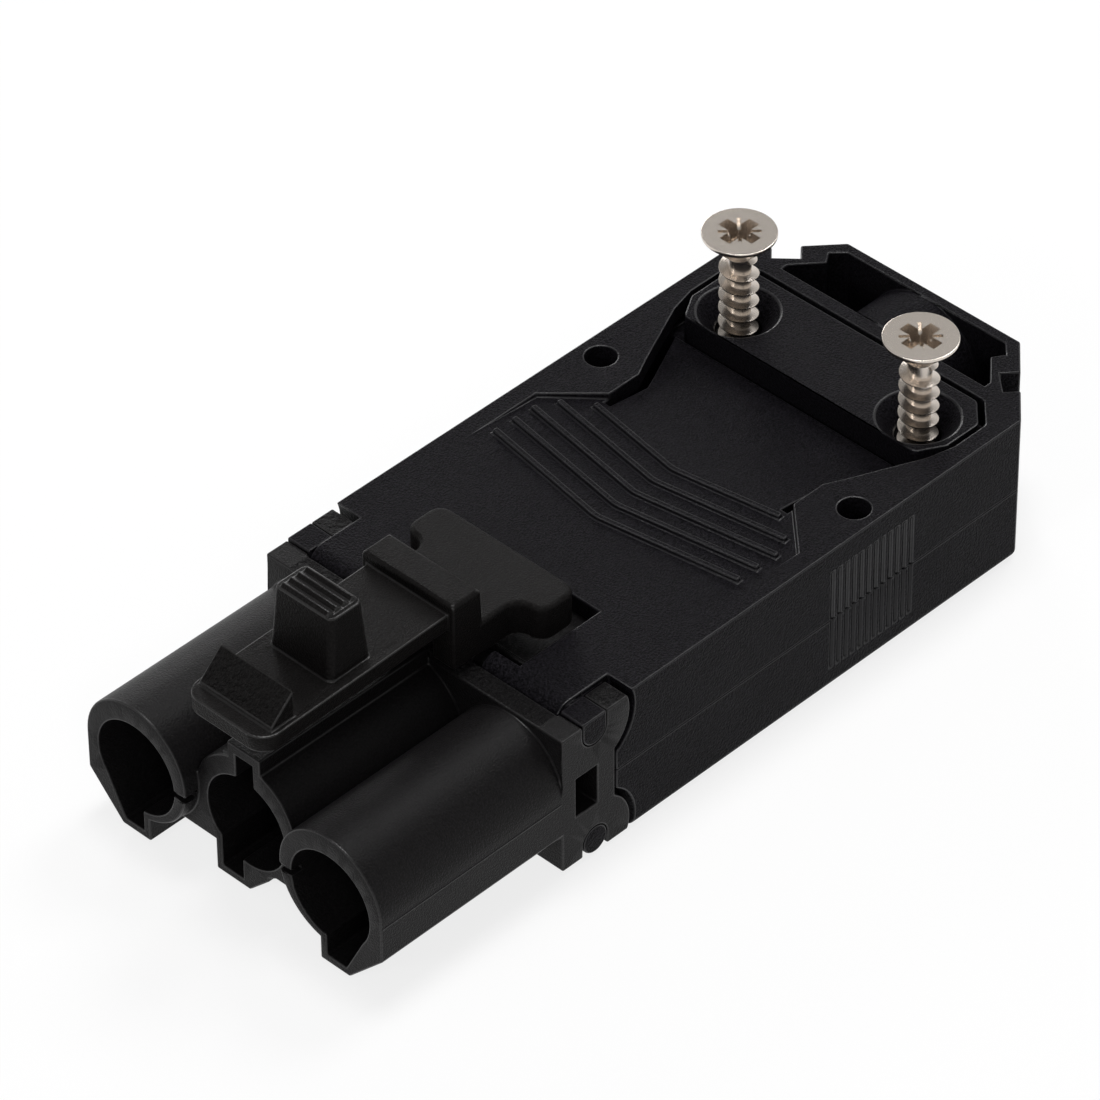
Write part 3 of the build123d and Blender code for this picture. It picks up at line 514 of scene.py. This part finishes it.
class CONNECTOR_OT_contacts(bpy.types.Operator):
    """Gives the contacts, terminals, small screws and retainer their metals and plastic"""

    bl_idname = "connector.contacts"
    bl_label = "Contacts and terminals"

    def execute(self, context):
        look = context.scene.connector_finish
        tinned = metal("tinned contact", (0.72, 0.70, 0.66), 0.28)
        brass = metal("terminal brass", (0.72, 0.55, 0.27), 0.32)
        plated = metal("small plated parts", tuple(look.plating_colour), 0.24)
        grey = moulded_plastic("retainer plastic", (0.34, 0.34, 0.32), 0.42, 0.0003, 0.00001, 0.4, 0.25)
        finishes = {
            "contact_pin": tinned, "terminal_cage": brass, "terminal_screw": plated,
            "pressure_plate": plated, "contact_retainer": grey,
        }
        for name, node in frame["nodes"].items():
            chosen = next((found for start, found in finishes.items() if name.startswith(start)), None)
            if chosen is None:
                continue
            only(node)
            bpy.ops.object.shade_smooth_by_angle(angle=CREASE_ANGLE)
            for slot in node.material_slots:
                slot.material = chosen
        return {"FINISHED"}


class CONNECTOR_OT_clamp_screws(bpy.types.Operator):
    """Models the clamp screws with a helical thread and a cross recess"""

    bl_idname = "connector.clamp_screws"
    bl_label = "Clamp screws"

    def turned_body(self, sizes, name, axis):
        """Head, cone and shank as one turned shape, extruded down from the rim."""
        cone = sizes.head_radius - sizes.core_radius
        shank = sizes.length - sizes.head_rim - cone
        bpy.ops.object.select_all(action="DESELECT")
        bpy.ops.mesh.primitive_cylinder_add(
            vertices=72, radius=sizes.head_radius, depth=sizes.head_rim,
            location=(axis.x, axis.y, axis.z - sizes.head_rim / 2),
        )
        screw = bpy.context.active_object
        screw.name = name
        settle(screw)
        pick_faces(screw, lambda centre, normal: normal.z < FACES_DOWN)
        taper = sizes.core_radius / sizes.head_radius
        tip, tip_taper = 0.07 * shank, 0.62
        bpy.ops.mesh.extrude_region_move(TRANSFORM_OT_translate={"value": (0, 0, -cone)})
        bpy.ops.transform.resize(value=(taper, taper, 1), center_override=axis)
        bpy.ops.mesh.extrude_region_move(TRANSFORM_OT_translate={"value": (0, 0, tip - shank)})
        bpy.ops.mesh.extrude_region_move(TRANSFORM_OT_translate={"value": (0, 0, -tip)})
        bpy.ops.transform.resize(value=(tip_taper, tip_taper, 1), center_override=axis)
        bpy.ops.object.mode_set(mode="OBJECT")
        return screw

    def blade(self, axis, turn, scale):
        """A block across the middle of the head, turned by some degrees."""
        bpy.ops.object.select_all(action="DESELECT")
        bpy.ops.mesh.primitive_cube_add(size=1, location=axis)
        blade = bpy.context.active_object
        blade.scale = scale
        blade.rotation_euler.z = math.radians(turn)
        settle(blade)
        return blade

    def cutters(self, sizes, axis):
        """Two crossed tapering blades, two thin marks between them and a round core, for the recess."""
        span, depth = sizes.recess_length, sizes.recess_depth
        arm_width, arm_taper = 0.3 * span, (0.55, 0.5, 1)
        mark_size = (0.75 * span, 0.07 * span, 0.5 * depth)
        core_bottom, core_top = 0.10 * span, 0.26 * span
        cutters = []
        for turn in (0, 90):
            arm = self.blade(axis, turn, (span, arm_width, 2 * depth))
            pick_faces(arm, lambda centre, normal: normal.z < FACES_DOWN)
            bpy.ops.transform.resize(value=arm_taper, center_override=axis)
            bpy.ops.object.mode_set(mode="OBJECT")
            cutters.append(arm)
        for turn in (45, 135):
            cutters.append(self.blade(axis, turn, mark_size))
        bpy.ops.object.select_all(action="DESELECT")
        bpy.ops.mesh.primitive_cone_add(
            vertices=24, radius1=core_bottom, radius2=core_top, depth=2 * depth, location=axis,
        )
        cutters.append(bpy.context.active_object)
        settle(cutters[-1])
        return cutters

    def thread(self, sizes, name, axis):
        """A closed four-sided profile, swept down the shank as a helix."""
        bpy.ops.object.select_all(action="DESELECT")
        bpy.ops.mesh.primitive_plane_add(size=1, location=(0, 0, 0))
        helix = bpy.context.active_object
        helix.name = f"{name}_thread"
        # The profile's corners: radius, and height as a share of the pitch
        root, crest = sizes.core_radius * 0.9, sizes.thread_radius
        corners = ((root, 0.16), (crest, 0.025), (crest, -0.025), (root, -0.16))
        around = sorted(helix.data.vertices, key=lambda vertex: math.atan2(vertex.co.y, vertex.co.x))
        for vertex, (radius, height) in zip(around, corners):
            vertex.co = (radius, 0, height * sizes.pitch)
        only(helix)
        bpy.ops.object.mode_set(mode="EDIT")
        bpy.ops.mesh.select_all(action="SELECT")
        bpy.ops.mesh.delete(type="ONLY_FACE")
        bpy.ops.object.mode_set(mode="OBJECT")
        apply_modifier(
            helix, "SCREW", axis="Z", angle=math.tau, screw_offset=-sizes.pitch, iterations=sizes.turns,
            steps=32, render_steps=32, use_normal_calculate=True,
        )
        # The thread runs out into the shank at both ends
        length = sizes.turns * sizes.pitch
        fade, full_above = 0.6 * sizes.pitch, 0.3 * sizes.pitch
        for vertex in helix.data.vertices:
            radius = math.hypot(vertex.co.x, vertex.co.y)
            reach = max(0.0, min(1.0, min(full_above - vertex.co.z, length + vertex.co.z) / fade))
            wanted = root + (radius - root) * reach
            vertex.co.x *= wanted / radius
            vertex.co.y *= wanted / radius
        cone = sizes.head_radius - sizes.core_radius
        start = axis.z - sizes.head_rim - cone - 0.25 * sizes.pitch
        helix.location = (axis.x, axis.y, start)
        settle(helix)
        bpy.ops.object.mode_set(mode="EDIT")
        bpy.ops.mesh.select_all(action="SELECT")
        bpy.ops.mesh.remove_doubles(threshold=MERGE_DISTANCE)
        bpy.ops.mesh.fill_holes(sides=4)
        bpy.ops.mesh.normals_make_consistent(inside=False)
        bpy.ops.object.mode_set(mode="OBJECT")
        return helix

    def execute(self, context):
        sizes = context.scene.clamp_screw_sizes
        look = context.scene.connector_finish
        plated = metal("nickel plating", tuple(look.plating_colour), 0.27)
        for node in ("clamp_screw_left", "clamp_screw_right"):
            low, high = (Vector(corner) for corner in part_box(node))
            axis = Vector(((low.x + high.x) / 2, (low.y + high.y) / 2, high.z))
            screw = self.turned_body(sizes, f"{node}_turned", axis)
            apply_modifier(
                screw, "BEVEL", width=0.00006, segments=2, limit_method="ANGLE",
                angle_limit=math.radians(30), use_clamp_overlap=True,
            )
            for cutter in self.cutters(sizes, axis):
                apply_modifier(screw, "BOOLEAN", operation="DIFFERENCE", object=cutter, solver="EXACT")
                bpy.data.objects.remove(cutter)
            helix = self.thread(sizes, node, axis)
            only(screw)
            helix.select_set(True)
            bpy.ops.object.join()
            bpy.ops.object.shade_smooth_by_angle(angle=CREASE_ANGLE)
            apply_modifier(screw, "WEIGHTED_NORMAL", keep_sharp=True)
            finish(screw, plated)
            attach(screw, node)
            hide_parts(node)
        return {"FINISHED"}


class CONNECTOR_OT_studio(bpy.types.Operator):
    """Sets up the floor, the soft lamps, the world and the camera"""

    bl_idname = "connector.studio"
    bl_label = "Studio"

    def lamp(self, name, place, size, power):
        """A square soft lamp aimed at the connector."""
        place = Vector(place)
        aim = (LAMP_TARGET - place).to_track_quat("-Z", "Y").to_euler()
        bpy.ops.object.light_add(type="AREA", location=place, rotation=aim)
        lamp = bpy.context.active_object
        lamp.name = name
        lamp.data.shape = "SQUARE"
        lamp.data.size = size
        lamp.data.energy = power

    def seen_directly(self, nodes, links):
        """One for rays from the camera, in mirrors and through glass, and nought for the rest."""
        path = nodes.new("ShaderNodeLightPath")
        seen = path.outputs["Is Camera Ray"]
        for ray in ("Is Glossy Ray", "Is Transmission Ray"):
            either = nodes.new("ShaderNodeMath")
            either.operation = "MAXIMUM"
            links.new(seen, either.inputs[0])
            links.new(path.outputs[ray], either.inputs[1])
            seen = either.outputs["Value"]
        return seen

    def execute(self, context):
        studio = context.scene.studio_settings
        bpy.ops.object.select_all(action="DESELECT")
        bpy.ops.mesh.primitive_plane_add(size=6, location=(0, 0, 0))
        floor = context.active_object
        floor.name = "studio_floor"
        paper, shader = node_material("studio floor")
        nodes, links = paper.node_tree.nodes, paper.node_tree.links
        shader.inputs["Base Color"].default_value = (*studio.floor_colour, 1)
        shader.inputs["Roughness"].default_value = 0.9
        shader.inputs["Specular IOR Level"].default_value = 0.1
        # Seen directly or in metal, the paper is washed out towards white
        glow = nodes.new("ShaderNodeEmission")
        wash = nodes.new("ShaderNodeMixShader")
        amount = nodes.new("ShaderNodeMapRange")
        amount.inputs["To Min"].default_value = 0.0
        amount.inputs["To Max"].default_value = studio.floor_wash
        links.new(self.seen_directly(nodes, links), amount.inputs["Value"])
        links.new(amount.outputs["Result"], wash.inputs["Fac"])
        links.new(shader.outputs["BSDF"], wash.inputs[1])
        links.new(glow.outputs["Emission"], wash.inputs[2])
        links.new(wash.outputs["Shader"], nodes["Material Output"].inputs["Surface"])
        finish(floor, paper)

        world = bpy.data.worlds.new("studio world")
        context.scene.world = world
        world.use_nodes = True
        nodes, links = world.node_tree.nodes, world.node_tree.links
        background = nodes["Background"]
        background.inputs["Color"].default_value = (1, 1, 1, 1)
        # The backdrop is white at the horizon and falls off to a darker ceiling
        facing = nodes.new("ShaderNodeTexCoord")
        parts = nodes.new("ShaderNodeSeparateXYZ")
        links.new(facing.outputs["Generated"], parts.inputs["Vector"])
        sky = nodes.new("ShaderNodeMapRange")
        sky.interpolation_type = "SMOOTHSTEP"
        sky.inputs["From Min"].default_value = 0.10
        sky.inputs["From Max"].default_value = 0.55
        sky.inputs["To Min"].default_value = 1.0
        sky.inputs["To Max"].default_value = studio.ceiling_level
        links.new(parts.outputs["Z"], sky.inputs["Value"])
        strength = nodes.new("ShaderNodeMapRange")
        strength.inputs["To Min"].default_value = studio.world_level
        links.new(self.seen_directly(nodes, links), strength.inputs["Value"])
        links.new(sky.outputs["Result"], strength.inputs["To Max"])
        links.new(strength.outputs["Result"], background.inputs["Strength"])

        for name, place, size, power in LAMPS:
            self.lamp(name, place, size, power * studio.light_level)

        azimuth, elevation = math.radians(studio.azimuth), math.radians(studio.elevation)
        back = Vector((
            math.sin(azimuth) * math.cos(elevation),
            -math.cos(azimuth) * math.cos(elevation),
            math.sin(elevation),
        ))
        right = Vector((math.cos(azimuth), math.sin(azimuth), 0))
        turn = Matrix.Rotation(math.radians(studio.roll), 3, back)
        right = turn @ right
        up = back.cross(right)
        target = CAMERA_TARGET + right * CAMERA_SHIFT.x + up * CAMERA_SHIFT.y
        axes = Matrix((right, up, back)).transposed()
        bpy.ops.object.camera_add(location=target + back * studio.distance, rotation=axes.to_euler())
        camera = context.active_object
        camera.data.sensor_width = 36
        camera.data.lens = studio.focal_length
        camera.data.clip_end = 10
        context.scene.camera = camera
        context.scene.view_settings.view_transform = "Standard"
        return {"FINISHED"}


class CONNECTOR_PT_sidebar(bpy.types.Panel):
    """Shows a button for each step that dresses the connector"""

    bl_idname = "CONNECTOR_PT_sidebar"
    bl_label = "Connector"
    bl_space_type = "VIEW_3D"
    bl_region_type = "UI"
    bl_category = "Connector"

    def draw(self, context):
        for operator in OPERATORS:
            self.layout.operator(operator.bl_idname)


OPERATORS = (
    CONNECTOR_OT_mouldings,
    CONNECTOR_OT_contacts,
    CONNECTOR_OT_clamp_screws,
    CONNECTOR_OT_studio,
)
CLASSES = (ConnectorFinish, ClampScrewSizes, StudioSettings, *OPERATORS, CONNECTOR_PT_sidebar)


def register():
    for item in CLASSES:
        bpy.utils.register_class(item)
    bpy.types.Scene.connector_finish = PointerProperty(type=ConnectorFinish)
    bpy.types.Scene.clamp_screw_sizes = PointerProperty(type=ClampScrewSizes)
    bpy.types.Scene.studio_settings = PointerProperty(type=StudioSettings)


def unregister():
    del bpy.types.Scene.studio_settings
    del bpy.types.Scene.clamp_screw_sizes
    del bpy.types.Scene.connector_finish
    for item in reversed(CLASSES):
        bpy.utils.unregister_class(item)


def main():
    register()
    bpy.ops.connector.mouldings()
    bpy.ops.connector.contacts()
    bpy.ops.connector.clamp_screws()
    bpy.ops.connector.studio()


if __name__ == "__main__":
    main()
